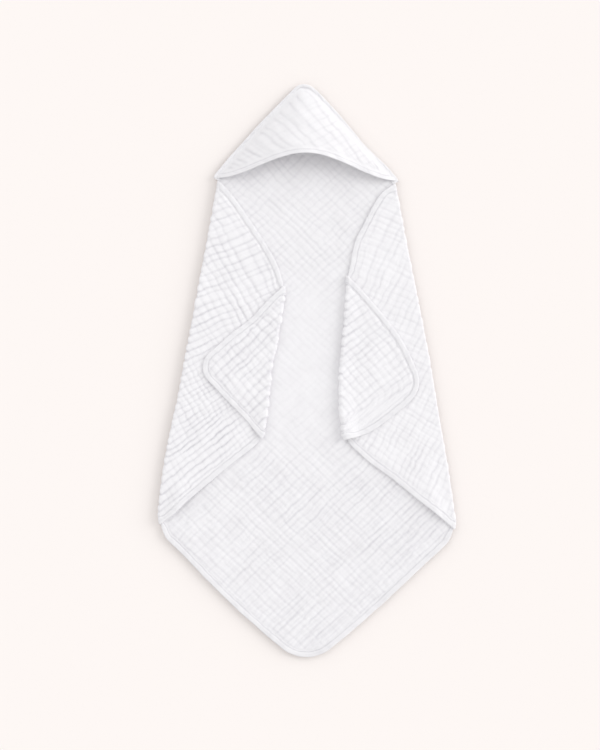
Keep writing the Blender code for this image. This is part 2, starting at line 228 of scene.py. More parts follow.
# The hood
HOOD_RISE = 0.0405          # rise of the front edge in the middle
FRONT_ARCH = 0.0520         # the front edge curves back this far
FRONT_WIDTH = 0.009         # width of the band along the front edge
FRONT_HALF = 0.0015         # and half its thickness
HOOD_EDGE_WIDTH = 0.008     # width of the binding along the hood's sides
HOOD_EDGE_HALF = 0.0023     # and half its thickness, over both layers
HOOD_HEM_FLATNESS = 0.12
FRONT_LEAN = 0.0060         # the raised edge leans forward over the body

joints = {joint["name"]: joint for joint in frame["joints"]}
random = np.random.default_rng(7)


# Plane geometry

def vec(x, y):
    """A plane point."""
    return np.array([x, y], float)


def unit(v):
    """The same direction with length one."""
    return v / np.maximum(np.linalg.norm(v, axis=-1, keepdims=True), 1e-12)


def left_of(v):
    """The direction turned a quarter turn to the left."""
    return np.stack([-v[..., 1], v[..., 0]], axis=-1)


def smooth(t):
    """A smooth step from 0 to 1."""
    t = np.clip(t, 0.0, 1.0)
    return t * t * (3 - 2 * t)


def flowing(shares, values):
    """A smooth curve through values at even shares, read at the given shares."""
    position = np.clip(shares, 0, 1) * (len(values) - 1)
    index = np.minimum(position.astype(int), len(values) - 2)
    t = position - index
    padded = np.concatenate([[2 * values[0] - values[1]], values, [2 * values[-1] - values[-2]]])
    a, b, c, d = (padded[index + k] for k in range(4))
    return 0.5 * (2 * b + (c - a) * t + (2 * a - 5 * b + 4 * c - d) * t**2
                  + (3 * b - a - 3 * c + d) * t**3)


def run_of(line):
    """Distance from a line's start to each of its points, along the line."""
    return np.concatenate([[0], np.cumsum(np.linalg.norm(np.diff(line, axis=0), axis=1))])


def resample(line, spacing=SPACING):
    """The same line with evenly spaced points."""
    run = run_of(line)
    even = np.linspace(0, run[-1], max(2, int(round(run[-1] / spacing)) + 1))
    return np.stack([np.interp(even, run, line[:, k]) for k in (0, 1)], axis=1)


def bowed(start, end, bows):
    """A line from start to end that bows to its left by these amounts in millimetres."""
    shares = np.linspace(0, 1, 160)
    offsets = flowing(shares, np.array(bows, float) / 1000)
    side = left_of(unit(end - start))
    return start + shares[:, None] * (end - start) + offsets[:, None] * side


def rounded(first, second, reach):
    """Two lines that meet in a corner, joined by a curve that starts this far from it."""
    def cut(line, from_end):
        line = line[::-1] if from_end else line
        keep = line[run_of(line) > reach]
        return keep[::-1] if from_end else keep
    a, b = cut(first, True), cut(second, False)
    corner = first[-1]
    h1 = a[-1] + (corner - a[-1]) * 0.56
    h2 = b[0] + (corner - b[0]) * 0.56
    t = np.linspace(0, 1, 40)[1:-1, None]
    arc = (1 - t)**3 * a[-1] + 3 * (1 - t)**2 * t * h1 + 3 * (1 - t) * t**2 * h2 + t**3 * b[0]
    return np.concatenate([a, arc, b])


def inside(points, loop):
    """Which points lie inside a closed line."""
    x, y = points[:, 0], points[:, 1]
    found = np.zeros(len(points), bool)
    for (x1, y1), (x2, y2) in zip(loop, np.roll(loop, -1, axis=0)):
        if y1 == y2:
            continue
        crosses = (y1 > y) != (y2 > y)
        found ^= crosses & (x < (x2 - x1) * (y - y1) / (y2 - y1) + x1)
    return found


def closest_on(line, points):
    """Distance from each point to a densely sampled line, and the index of its closest point."""
    tree = KDTree(len(line))
    for index, (x, y) in enumerate(line):
        tree.insert((x, y, 0), index)
    tree.balance()
    found = [tree.find((x, y, 0)) for x, y in points]
    return np.array([hit[2] for hit in found]), np.array([hit[1] for hit in found])


def distance_to(points, line):
    """Distance from each point to a densely sampled line."""
    return closest_on(line, points)[0]


# Random fields

class Noise:
    """A smooth random field between -1 and 1, one lump for each unit of length."""

    def __init__(self):
        self.table = random.uniform(-1, 1, (97, 97))

    def __call__(self, u, v=0.0):
        u, v = np.broadcast_arrays(np.asarray(u, float), np.asarray(v, float))
        i, j = np.floor(u).astype(int), np.floor(v).astype(int)
        s, t = smooth(u - i), smooth(v - j)
        table, n = self.table, len(self.table)
        low = table[i % n, j % n] * (1 - s) + table[(i + 1) % n, j % n] * s
        high = table[i % n, (j + 1) % n] * (1 - s) + table[(i + 1) % n, (j + 1) % n] * s
        return low * (1 - t) + high * t


class TackLines:
    """Uneven parallel lines where the layers of gauze are tacked together."""

    def __init__(self, closest, widest):
        gaps = random.uniform(closest, widest, int(3.2 / closest))
        self.lines = np.cumsum(gaps) - 1.6
        self.wander, self.ripple = Noise(), Noise()
        self.force, self.fade = Noise(), Noise()
        self.mean = (closest + widest) / 2

    def swell(self, across, along):
        """Height, 0 at a line and about 1 between two, and how near a line is, 1 on it."""
        moved = across + 0.22 * self.mean * self.wander(along / 0.045, across / 0.05)
        moved = moved + 0.13 * self.mean * self.ripple(along / 0.011, across / 0.02)
        index = np.clip(np.searchsorted(self.lines, moved) - 1, 0, len(self.lines) - 2)
        low, high = self.lines[index], self.lines[index + 1]
        t = (moved - low) / (high - low)
        height = np.maximum(4 * t * (1 - t), 1e-6) ** 0.5 * ((high - low) / self.mean) ** 0.7
        force = 0.70 + 0.30 * self.fade(along / 0.055, index * 0.7 + 0.35)
        near = np.minimum(moved - low, high - moved)
        line = np.exp(-(near / TACK_WIDTH) ** 2)
        line = line * (0.62 + 0.38 * self.force(along / 0.03, np.round(t + index) * 0.83))
        return np.stack([height * force, line])


class Muslin:
    """The crinkle of the cloth, read at weave coordinates."""

    def __init__(self):
        self.broad_p, self.broad_q = TackLines(0.0100, 0.0170), TackLines(0.0100, 0.0170)
        self.fine_p, self.fine_q = TackLines(0.0065, 0.0105), TackLines(0.0065, 0.0105)
        self.lump, self.grain, self.mood, self.drift = Noise(), Noise(), Noise(), Noise()

    def height(self, p, q, up, down, fine):
        """Height of the puffs and nearness of the tack lines at the coordinates p and q.

        up weighs the ribs between p's lines, down those between q's, fine the narrow ones.
        """
        mood = 0.5 * self.mood(p / 0.075, q / 0.075)
        up, down = np.clip(up * (1 + mood), 0, 2), np.clip(down * (1 - mood), 0, 2)
        broad = up * self.broad_p.swell(p, q) + down * self.broad_q.swell(q, p)
        narrow = up * self.fine_p.swell(p, q) + down * self.fine_q.swell(q, p)
        ribs = (1 - fine) * broad + fine * 0.62 * narrow
        lumps = self.lump(p / 0.011, q / 0.011) + 0.5 * self.grain(p / 0.0052, q / 0.0052)
        uneven = CRUMPLE * (lumps + 0.6) * (0.35 + 0.65 * np.clip(up + down, 0, 1))
        # Nearness of the tack lines: it deepens the groove and sets the painted shade in it
        line = np.clip(0.75 * ribs[1], 0, 1)
        return np.stack([np.maximum(PUFF * ribs[0] + uneven - TACK_DEPTH * line, -0.0003), line])


MUSLIN = Muslin()
SLOW = Noise()
Noise()                     # read by nothing: it keeps the random draws after it in their order


def sway(points):
    """The slow rise and fall that all the stacked layers share."""
    wave = SLOW(points[:, 0] / SWAY_LENGTH + 9, points[:, 1] / SWAY_LENGTH + 9)
    return SWAY * (0.5 + 0.5 * wave)


def lines_at(points, origin, angle):
    """Signed distance from a line through origin at this angle in degrees."""
    a = math.radians(angle)
    return (points - origin) @ vec(-math.sin(a), math.cos(a))


def fanned(points, origin, near, far, reach):
    """The same, with the angle turning from near to far over this distance."""
    first, second = lines_at(points, origin, near), lines_at(points, origin, far)
    share = smooth(np.abs(first) / reach)
    return first * (1 - share) + second * share


def hugging(points, hem, straight, reach):
    """A weave coordinate that runs along a hem near it and straight further in."""
    near = distance_to(points, hem)
    share = smooth(near / reach)
    return near * np.sign(np.sum(straight)) * (1 - share) + straight * share


# Landmarks from the frame

def fold_line(name):
    """The point where a fold starts and its direction down the towel."""
    joint = joints[name]
    start = np.array(joint["pos_m"][:2], float)
    along = unit(np.array(joint["axis"][:2], float))
    return start, along if along[1] < 0 else -along


# The frame gives where a fold starts and its direction, and these are the folds' lengths
LEFT_FOLD_LENGTH, RIGHT_FOLD_LENGTH = 0.6889, 0.6916
LEFT_TIP_FOLD_LENGTH, RIGHT_TIP_FOLD_LENGTH = 0.3010, 0.3215
HOOD_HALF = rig.box("hood_edge_binding")[1].x
NECK_Y = joints["hood_fold"]["pos_m"][1]
NECK_BLEND = (0, NECK_Y - 0.001, 0), (0, NECK_Y + 0.006, 0)     # here the hood starts to turn
HOOD_TOP = vec(-0.0054, NECK_Y + 0.1965)
BODY_FOOT = vec(-0.0017, NECK_Y - 0.9468)

LEFT_TOP, left_down = fold_line("left_flap_fold")
RIGHT_TOP, right_down = fold_line("right_flap_fold")
LEFT_FOOT = LEFT_TOP + left_down * LEFT_FOLD_LENGTH
RIGHT_FOOT = RIGHT_TOP + right_down * RIGHT_FOLD_LENGTH
LEFT_TIP_TOP, left_tip_down = fold_line("left_tip_fold")
RIGHT_TIP_TOP, right_tip_down = fold_line("right_tip_fold")
LEFT_TIP_END = LEFT_TIP_TOP + left_tip_down * LEFT_TIP_FOLD_LENGTH
RIGHT_TIP_END = RIGHT_TIP_TOP + right_tip_down * RIGHT_TIP_FOLD_LENGTH
LEFT_CORNER = vec(-0.2171, 0.0116)
RIGHT_CORNER = vec(0.2299, -0.0312)
NECK_LEFT = vec(-HOOD_HALF, NECK_Y + 0.0029)
NECK_RIGHT = vec(HOOD_HALF, NECK_Y - 0.0029)

# How far the folds and hems leave the straight line, in millimetres, to the left of the way in
# which each one is drawn
LEFT_FOLD_BOWS = (6.0, 7.2, 6.2, 5.2, 4.6, 4.2, 3.4, 1.0, -1.2, 1.6, 7.8)
RIGHT_FOLD_BOWS = (-5.5, -4.6, -3.8, -1.6, -0.2, 1.0, 0.4, -0.2, -0.4, -2.2, -3.4)
LEFT_TIP_FOLD_BOWS = (0.5, 0.2, -1.4, -3.2, -5.6, -5.8, -5.0, -4.4, -3.5)
RIGHT_TIP_FOLD_BOWS = (2.5, 4.6, 3.4, 1.9, 0.2, -0.2, 1.8, 7.5, 15.0)
LEFT_UPPER_BOWS = (0, 6.5, 9.4, 10.5, 11.8, 12.9, 12.2, 8.5, 0)
RIGHT_UPPER_BOWS = (0, -13.0, -16.8, -18.0, -17.5, -17.6, -13.8, -6.5, 0)
LEFT_LOWER_BOWS = (0, -1.5, 0.5, 0.8, 1.4, 1.3, 0.6, -0.5, 0)
RIGHT_LOWER_BOWS = (0, -1.6, -1.0, 0.0, -0.6, 1.1, 3.6, 2.4, 0)
LEFT_TIP_UPPER_BOWS = (0, -0.2, 1.8, 4.4, 2.7, 1.1, 1.0, 0, 0)
LEFT_TIP_LOWER_BOWS = (0, 0, 0.4, 0.6, 1.1, 1.9, 2.2, 1.1, 0)
RIGHT_TIP_UPPER_BOWS = (0, -4.5, -10.5, -15.0, -15.0, -12.6, -9.5, -5.5, 0)
RIGHT_TIP_LOWER_BOWS = (0, -8.5, -12.6, -13.6, -12.0, -9.8, -7.0, -2.0, 0)
LEFT_BOTTOM_BOWS = (0, 0.8, -1.4, -4.0, -5.6, -5.3, -4.0, -1.2, 0)
RIGHT_BOTTOM_BOWS = (0, -2.6, -5.0, -5.6, -5.2, -3.8, -2.6, -1.6, 0)
LEFT_HOOD_BOWS = (0, -1.0, -2.4, -4.0, -5.0, -4.8, -5.0, -4.2, -2.0)
RIGHT_HOOD_BOWS = (0, -1.8, -0.2, 1.2, -0.8, -2.8, -3.2, -2.4, 0)

# How far from each corner its rounding starts
LEFT_CORNER_REACH = 0.040
RIGHT_CORNER_REACH = 0.036
POINT_REACH = 0.060
FOOT_REACH = 0.032
TIP_TOP_REACH = 0.010
TIP_END_REACH = 0.016
TOP_REACH = 0.026
HOOK_REACH = 0.006
FOOT_TRIM = 0.010           # the side folds end this far above their feet


# Closed meshes

def new_object(name, data):
    """An object in the scene."""
    made = bpy.data.objects.new(name, data)
    bpy.context.scene.collection.objects.link(made)
    return made


def new_mesh(name, points, faces, material, body=None, sharp=75):
    """An object from points and faces, shaded smooth."""
    mesh = bpy.data.meshes.new(name)
    mesh.from_pydata([tuple(p) for p in points], [], faces)
    mesh.update()
    bm = bmesh.new()
    bm.from_mesh(mesh)
    bmesh.ops.recalc_face_normals(bm, faces=bm.faces)
    bm.to_mesh(mesh)
    bm.free()
    mesh.shade_smooth()
    mesh.set_sharp_from_angle(angle=math.radians(sharp))
    mesh.materials.append(material)
    piece = new_object(name, mesh)
    if body:
        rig.ride(piece, body)
    return piece


def triangles_in(loop):
    """Even points inside a closed line and the triangles between them."""
    low, high = loop.min(axis=0), loop.max(axis=0)
    middle = (low + high) / 2
    reach = np.linalg.norm(high - low) / 2
    steps = np.arange(-reach, reach, SPACING)
    u, v = np.meshgrid(steps, steps)
    turn = math.sqrt(0.5)
    grid = np.stack([(u - v).ravel() * turn, (u + v).ravel() * turn], axis=1) + middle
    grid = grid[np.all((grid > low) & (grid < high), axis=1)]
    grid = grid[inside(grid, loop)]
    grid = grid[distance_to(grid, loop) > 0.6 * SPACING]
    grid[:, 0] += random.uniform(-1e-5, 1e-5, len(grid))
    points = np.concatenate([loop, grid])
    edges = [(k, (k + 1) % len(loop)) for k in range(len(loop))]
    found = delaunay_2d_cdt([Vector(p) for p in points], edges, [], 1, 1e-7)
    origin = [which[0] for which in found[3]]
    faces = [tuple(origin[k] for k in face) for face in found[2]]
    return points, faces


def surface(points, level):
    """Points of the surface at this level function, and its upward normals."""
    step = 0.0015
    dx = (level(points + vec(step, 0)) - level(points - vec(step, 0))) / (2 * step)
    dy = (level(points + vec(0, step)) - level(points - vec(0, step))) / (2 * step)
    normals = unit(np.stack([-dx, -dy, np.ones(len(points))], axis=1))
    return np.column_stack([points, level(points)]), normals


class Panel:
    """One layer of the cloth: its outline, its height and its crinkle."""

    def __init__(self, name, loop, hems, level, crinkle, flatness=HEM_FLATNESS):
        self.name = name
        self.loop = loop
        self.hems = hems
        self.level = level
        self.crinkle = crinkle
        self.flatness = flatness

    def relief(self, points):
        """Height of the puffs and nearness of the tack lines, pressed flat under the binding."""
        free = smooth((distance_to(points, self.hems) - HEM_WIDTH * 0.88) / 0.0045)
        return self.crinkle(points) * (self.flatness + (1 - self.flatness) * free)

    def area(self):
        """Area inside the outline."""
        x, y = self.loop[:, 0], self.loop[:, 1]
        return abs(np.dot(x, np.roll(y, -1)) - np.dot(y, np.roll(x, -1))) / 2


def panel_piece(panel, material, turn=None):
    """The closed sheet of a panel, with the turn of the cloth at its outer fold."""
    points, faces = triangles_in(panel.loop)
    middle, up = surface(points, panel.level)
    relief, tack = panel.relief(points)
    height = (CORE + relief)[:, None]
    lower_height = (CORE + BACK_PUFF * relief)[:, None]
    # The nearness of the tack lines is kept as painted shade for the creases
    painted_crease_shades = [tack, tack]
    count, rim = len(points), len(panel.loop)
    if turn is not None:
        seam = panel.loop[turn["indices"]]
        turn["push"] = scallops(panel, seam, turn["outward"](seam), turn["scallop"])
        middle[:, :2] += beside(points, seam, turn["push"])
    everything = [middle + up * height, middle - up * lower_height]
    made = faces + [tuple(k + count for k in face[::-1]) for face in faces]
    fold = [] if turn is None else turn["indices"]
    folded = set(zip(fold, fold[1:]))
    for k in range(rim):
        after = (k + 1) % rim
        if (k, after) not in folded:
            made.append((k, k + count, after + count, after))
    if turn is not None:
        rows, row_painted_crease_shades, row_faces = turn_rows(panel, turn, 2 * count, count)
        everything += rows
        painted_crease_shades += row_painted_crease_shades
        made += row_faces
    piece = new_mesh(panel.name, np.concatenate(everything), made, material)
    write_painted_shade(piece, np.concatenate(painted_crease_shades))
    return piece


def write_painted_shade(piece, values):
    """Write the painted shade of each point of a piece, how deep in a crease it lies, as its tack attribute."""
    shade = piece.data.attributes.new("tack", "FLOAT", "POINT")
    shade.data.foreach_set("value", np.asarray(values, np.float32))


def scallops(panel, seam, outward, size):
    """How far the puffs beside a fold push each point of it out or in."""
    steps = np.arange(len(seam))
    ends = np.minimum(steps, steps[::-1]) * SPACING
    push = size * (panel.relief(seam)[0] / PUFF - 0.8) * smooth(ends / 0.03)
    return outward * push[:, None]


def beside(points, seam, push):
    """The push of the closest point of a fold, dying away from it."""
    near, index = closest_on(seam, points)
    return push[index] * (1 - smooth(near / 0.013))[:, None]


def turn_shape(seam, outward, low, high, angles):
    """Middle points and outward normals round a fold, one row for each angle."""
    radius = (high - low) / 2
    rows = []
    for angle in angles:
        middle = np.column_stack([seam + outward * (radius * math.sin(angle))[:, None],
                                  low + radius * (1 - math.cos(angle))])
        normal = np.column_stack([outward * math.sin(angle), np.full(len(seam), -math.cos(angle))])
        rows.append((middle, normal))
    return rows, radius


def turn_rows(panel, turn, start, count):
    """The rows of the cloth that turn from the panel below up to this panel."""
    indices = turn["indices"]
    seam = panel.loop[indices]
    below = turn["below"]
    outward = turn["outward"](seam)
    angles = [math.pi * k / TURN_STEPS for k in range(TURN_STEPS)]
    shapes, radius = turn_shape(seam, outward, below.level(seam), panel.level(seam), angles)
    upper = panel.relief(seam)
    rows, painted_crease_shades, faces = [], [], []
    n = len(seam)
    for (middle, normal), angle in zip(shapes, angles):
        share = smooth(angle / math.pi)
        middle[:, :2] += turn["push"] * smooth(2 * angle / math.pi)
        lower = below.relief(seam + outward * (radius * angle)[:, None])
        mixed = (1 - share) * lower + share * upper
        height = CORE + mixed[0]
        painted_crease_shades += [mixed[1], mixed[1]]
        inner = np.minimum(CORE + BACK_PUFF * mixed[0], radius * 0.9)
        rows += [middle + normal * height[:, None], middle - normal * inner[:, None]]

    def ring(row, side):
        """Indices of the points of one row, on its outer side, 0, or its inner one, 1."""
        if row == TURN_STEPS:
            return [k + side * count for k in indices]
        return range(start + (2 * row + side) * n, start + (2 * row + side + 1) * n)

    for row in range(TURN_STEPS):
        outer, inner = ring(row, 0), ring(row, 1)
        outer_on, inner_on = ring(row + 1, 0), ring(row + 1, 1)
        for k in range(n - 1):
            faces.append((outer[k], outer[k + 1], outer_on[k + 1], outer_on[k]))
            faces.append((inner[k], inner_on[k], inner_on[k + 1], inner[k + 1]))
        for k in (0, n - 1):
            faces.append((outer[k], inner[k], inner_on[k], outer_on[k]))
    outer, inner = ring(0, 0), ring(0, 1)
    for k in range(n - 1):
        faces.append((outer[k], inner[k], inner[k + 1], outer[k + 1]))
    return rows, painted_crease_shades, faces


# Hems: an outer line and, at each point of it, the way across the binding

class Hem:
    """A stretch of the towel's edge.  At a fold its binding ends on the fold's line."""

    def __init__(self, line, start_fold=None, end_fold=None, width=HEM_WIDTH):
        self.line = resample(line, 0.0022)
        along = unit(np.gradient(self.line, axis=0))
        self.across = left_of(along) * width
        self.run = run_of(self.line)
        for fold, distance in ((start_fold, self.run), (end_fold, self.run[-1] - self.run)):
            if fold is not None:
                share = (1 - smooth(distance / HEM_TURN))[:, None]
                self.across = self.across * (1 - share) + fold * width * SEAM_REACH * share

    def inset(self):
        """The line inside the binding where the cloth ends."""
        return self.line + self.across * INSET


# The binding's cross-section: how far across it, its half height, 1 where it is thickest, and its
# painted shade, most in its grooves and where it meets the cloth
TAPE = [(0.0, 0.0, 0), (0.02, 0.5, 0), (0.08, 0.82, 0), (0.2, 1.0, 0), (0.38, 0.98, 0.22),
        (0.56, 1.0, 0.10), (0.7, 0.93, 0), (0.77, 0.55, 0.55), (0.83, 0.55, 0.65),
        (0.89, 0.86, 0.15), (0.96, 0.72, 0.3), (1.0, 0.3, 1.0)]
TAPE_ACROSS, TAPE_HEIGHT, TAPE_PAINTED_SHADE = np.array(TAPE + [(d, -h, s) for d, h, s in TAPE[:0:-1]]).T
GROOVE = 0.80               # the stitches lie this far across the tape
PUCKER, PUCKER_TOO, EDGE_WAVE = Noise(), Noise(), Noise()


def puckers(run, shift=0):
    """The fine slanted puckers that its sewing leaves in one section of tape."""
    return PUCKER(run / 0.0048 + TAPE_ACROSS * 1.6 + shift,
                  np.sign(TAPE_HEIGHT) * 3 + TAPE_ACROSS * 0.8)


def tape_heights(run, half):
    """Heights of one section of tape."""
    slow = PUCKER_TOO(run / 0.021, TAPE_ACROSS * 1.3)
    return TAPE_HEIGHT * half * (1 + 0.28 * puckers(run) + 0.12 * slow)


def painted_tape_shade(run):
    """The painted shade at each point of one section, in its grooves and between its puckers, in uneven patches."""
    patch = 0.7 + 0.5 * PUCKER_TOO(run / 0.016, TAPE_ACROSS * 0.5 + 5)
    between = 0.30 * np.clip(-puckers(run, 0.5), 0, 1)
    return np.clip(TAPE_PAINTED_SHADE * patch + between + 0.04, 0, 1)


def flat_section(hem, index, level, half):
    """One section of tape on a lying layer."""
    run = hem.run[index]
    wave = 0.028 * EDGE_WAVE(run / 0.013, 3.0) + 0.03 * EDGE_WAVE(run / 0.045, 7.0)
    inner = 0.10 * EDGE_WAVE(run / 0.009, 11.0) + 0.06 * EDGE_WAVE(run / 0.03, 15.0)
    reach = TAPE_ACROSS * (1 - wave) + wave + inner * smooth((TAPE_ACROSS - 0.6) / 0.4)
    plan = hem.line[index] + hem.across[index] * reach[:, None]
    middle, up = surface(plan, level)
    return middle + up * tape_heights(run, half)[:, None]


def turned_sections(hem, at_end, outward, below, above, half):
    """Sections of tape round a fold, from the layer below up to the layer above."""
    index = -1 if at_end else 0
    seam = hem.line[index] + hem.across[index] * TAPE_ACROSS[:, None]
    side = np.tile(outward, (len(seam), 1))
    angles = [math.pi * k / TURN_STEPS for k in range(TURN_STEPS)]
    shapes, radius = turn_shape(seam, side, below(seam), above(seam), angles)
    heights = tape_heights(hem.run[index], half)
    heights = np.maximum(heights, -0.92 * radius)
    return [middle + normal * heights[:, None] for middle, normal in shapes]


def tube_faces(rings, count):
    """Faces of a closed tube through this many rings of points."""
    faces = []
    for ring in range(rings - 1):
        for k in range(count):
            a, b = ring * count + k, ring * count + (k + 1) % count
            faces.append((a, b, b + count, a + count))
    return faces + [tuple(range(count))[::-1], tuple(range((rings - 1) * count, rings * count))]


def binding(name, hem, level, starts=None, ends=None, body=None, half=HEM_HALF):
    """The folded tape along a hem.  starts and ends give the turns at its folds."""
    sections = [flat_section(hem, k, level, half) for k in range(len(hem.line))]
    runs = list(hem.run)
    if starts:
        sections = turned_sections(hem, False, *starts, level, half) + sections
        runs = [hem.run[0]] * TURN_STEPS + runs
    if ends:
        sections = sections + turned_sections(hem, True, *ends, level, half)[::-1]
        runs = runs + [hem.run[-1]] * TURN_STEPS
    faces = tube_faces(len(sections), len(sections[0]))
    piece = new_mesh(name, np.concatenate(sections), faces, TAPE_LOOK, body, 80)
    write_painted_shade(piece, np.concatenate([painted_tape_shade(run) for run in runs]))
    return piece


def stitch_shape():
    """Points and faces of one stitch, a short thread pulled down at both ends."""
    points, sides = [], 6
    for along, size, sink in ((-0.5, 0.4, 0.9), (-0.3, 0.95, 0.15), (0, 1, 0),
                              (0.3, 0.95, 0.15), (0.5, 0.4, 0.9)):
        for k in range(sides):
            angle = 2 * math.pi * k / sides
            points.append((along * STITCH_LENGTH, math.cos(angle) * STITCH_WIDTH / 2 * size,
                           (math.sin(angle) * size * 0.6 - sink * 0.5) * STITCH_WIDTH / 2))
    return np.array(points), tube_faces(5, sides)


def stitching(name, hem, level, body=None, half=HEM_HALF, margin=STITCH_MARGIN):
    """One row of stitches in the groove of a binding, on its face and on its back."""
    shape, shape_faces = stitch_shape()
    count = int((hem.run[-1] - 2 * margin) / STITCH_PITCH)
    runs = margin + (np.arange(count) + 0.5) * STITCH_PITCH
    groove = hem.line + hem.across * GROOVE
    plan = np.stack([np.interp(runs, hem.run, groove[:, k]) for k in (0, 1)], axis=1)
    along = unit(np.gradient(plan, axis=0))
    middle, up = surface(plan, level)
    ahead = np.column_stack([along, np.zeros(count)])
    ahead = unit(ahead - up * np.sum(ahead * up, axis=1)[:, None])
    aside = np.cross(up, ahead)
    points, faces = [], []
    for way in (1, -1):
        turn = random.normal(0, 0.07, count)[:, None]
        x = ahead * np.cos(turn) + aside * np.sin(turn)
        y = -ahead * np.sin(turn) + aside * np.cos(turn)
        base = middle + up * (way * (0.55 * half + 0.00032))
        placed = (base[:, None, :] + x[:, None, :] * shape[None, :, 0:1]
                  + y[:, None, :] * shape[None, :, 1:2] + way * up[:, None, :] * shape[None, :, 2:3])
        for one in placed:
            start = len(points) * len(shape)
            faces += [tuple(k + start for k in face) for face in shape_faces]
            points.append(one)
    return new_mesh(name, np.concatenate(points), faces, THREAD_LOOK, body, 60)


# Materials

def put(node, **values):
    """Set inputs of a shader node, with _ for each space in their names."""
    for key, value in values.items():
        node.inputs[key.replace("_", " ")].default_value = value
    return node


def new_node(tree, kind, **values):
    """A new shader node with its input values."""
    return put(tree.nodes.new(kind), **values)


WAVE_PERIOD = 0.314         # a wave texture repeats after this length over its scale
MUSLIN_WEAVE = dict(thread_pitch=0.0011, weave_depth=0.00016, fuzz=0.12)
TAPE_WEAVE = dict(thread_pitch=0.0007, weave_depth=0.00009, fuzz=0.10)
THREAD_WEAVE = dict(thread_pitch=0.0004, weave_depth=0.00006, fuzz=0.05)


def cloth_material(name, dark, light, crease, thread_pitch, weave_depth, fuzz):
    """White cotton: two random tones, with painted shade in its creases from the tack attribute, woven threads and a
    soft fuzz.
    """
    made = bpy.data.materials.new(name)
    made.use_nodes = True
    tree = made.node_tree
    link = tree.links.new
    shader = put(tree.nodes["Principled BSDF"], Roughness=0.92, Specular_IOR_Level=0.18,
                 Sheen_Weight=fuzz, Sheen_Roughness=0.55)
    place = tree.nodes.new("ShaderNodeTexCoord")
    cloud = new_node(tree, "ShaderNodeTexNoise", Scale=22.0, Detail=4.0, Roughness=0.6)
    link(place.outputs["Object"], cloud.inputs["Vector"])
    shades = tree.nodes.new("ShaderNodeValToRGB")
    for stop, position, colour in zip(shades.color_ramp.elements, (0.3, 0.7), (dark, light)):
        stop.position, stop.color = position, (*colour, 1)
    link(cloud.outputs["Fac"], shades.inputs["Fac"])
    # The tack attribute darkens the colour towards the crease colour: painted shade in the creases
    tack = tree.nodes.new("ShaderNodeAttribute")
    tack.attribute_name = "tack"
    shadow = tree.nodes.new("ShaderNodeMix")
    shadow.data_type = "RGBA"
    shadow.blend_type = "MULTIPLY"
    shadow.inputs[7].default_value = (*crease, 1)
    link(tack.outputs["Fac"], shadow.inputs[0])
    link(shades.outputs["Color"], shadow.inputs[6])
    link(shadow.outputs[2], shader.inputs["Base Color"])

    heights = []
    for turn in (45, -45):
        mapping = new_node(tree, "ShaderNodeMapping", Rotation=(0, 0, math.radians(turn)))
        link(place.outputs["Object"], mapping.inputs["Vector"])
        threads = new_node(tree, "ShaderNodeTexWave", Scale=WAVE_PERIOD / thread_pitch,
                           Distortion=1.6, Detail=2.0, Detail_Scale=1.4)
        link(mapping.outputs["Vector"], threads.inputs["Vector"])
        heights.append(threads)
    weave = tree.nodes.new("ShaderNodeMath")
    weave.operation = "ADD"
    link(heights[0].outputs["Fac"], weave.inputs[0])
    link(heights[1].outputs["Fac"], weave.inputs[1])
    bump = new_node(tree, "ShaderNodeBump", Strength=0.55, Distance=weave_depth)
    link(weave.outputs["Value"], bump.inputs["Height"])
    slub = new_node(tree, "ShaderNodeTexNoise", Scale=420.0, Detail=3.0, Roughness=0.65)
    link(place.outputs["Object"], slub.inputs["Vector"])
    rough = new_node(tree, "ShaderNodeBump", Strength=0.4, Distance=weave_depth * 1.6)
    link(slub.outputs["Fac"], rough.inputs["Height"])
    link(bump.outputs["Normal"], rough.inputs["Normal"])
    link(rough.outputs["Normal"], shader.inputs["Normal"])
    return made


# The third colour of each material is the painted shade in its creases
MUSLIN_LOOK = cloth_material("muslin", (0.886, 0.873, 0.892), (0.930, 0.919, 0.937),
                             (0.71, 0.705, 0.73), **MUSLIN_WEAVE)
# Painted shade: the body is a little darker than the flaps and tips of the same cloth
SHADED_BODY_LOOK = cloth_material("muslin_inner_face", (0.862, 0.849, 0.868), (0.906, 0.895, 0.913),
                           (0.74, 0.735, 0.76), **MUSLIN_WEAVE)
# Painted shade: the hood cover is darker than the other muslin and its crease shade deeper, to take down the light on
# its slopes
SHADED_HOOD_LOOK = cloth_material("hood_muslin", (0.846, 0.834, 0.852), (0.888, 0.878, 0.895),
                           (0.68, 0.675, 0.70), **MUSLIN_WEAVE)
TAPE_LOOK = cloth_material("binding_tape", (0.856, 0.845, 0.862), (0.898, 0.889, 0.906),
                           (0.76, 0.755, 0.78), **TAPE_WEAVE)
THREAD_LOOK = cloth_material("sewing_thread", (0.74, 0.73, 0.755), (0.80, 0.79, 0.81),
                             (1, 1, 1), **THREAD_WEAVE)


# Outlines

left_fold = bowed(LEFT_TOP, LEFT_FOOT, LEFT_FOLD_BOWS)
right_fold = bowed(RIGHT_TOP, RIGHT_FOOT, RIGHT_FOLD_BOWS)
bottom_left = bowed(LEFT_FOOT, BODY_FOOT, LEFT_BOTTOM_BOWS)
bottom_right = bowed(BODY_FOOT, RIGHT_FOOT, RIGHT_BOTTOM_BOWS)


def split_below(line, y):
    """A line from top to bottom, cut in two at this height."""
    cut = int(np.argmax(line[:, 1] < y))
    return line[:cut + 1], line[cut:]


left_seam, bottom_left = split_below(rounded(left_fold, bottom_left, FOOT_REACH),
                                     LEFT_FOOT[1] + FOOT_TRIM)
right_seam, turned_right = split_below(rounded(right_fold, bottom_right[::-1], FOOT_REACH),
                                       RIGHT_FOOT[1] + FOOT_TRIM)
bottom_line = rounded(bottom_left, turned_right[::-1], POINT_REACH)


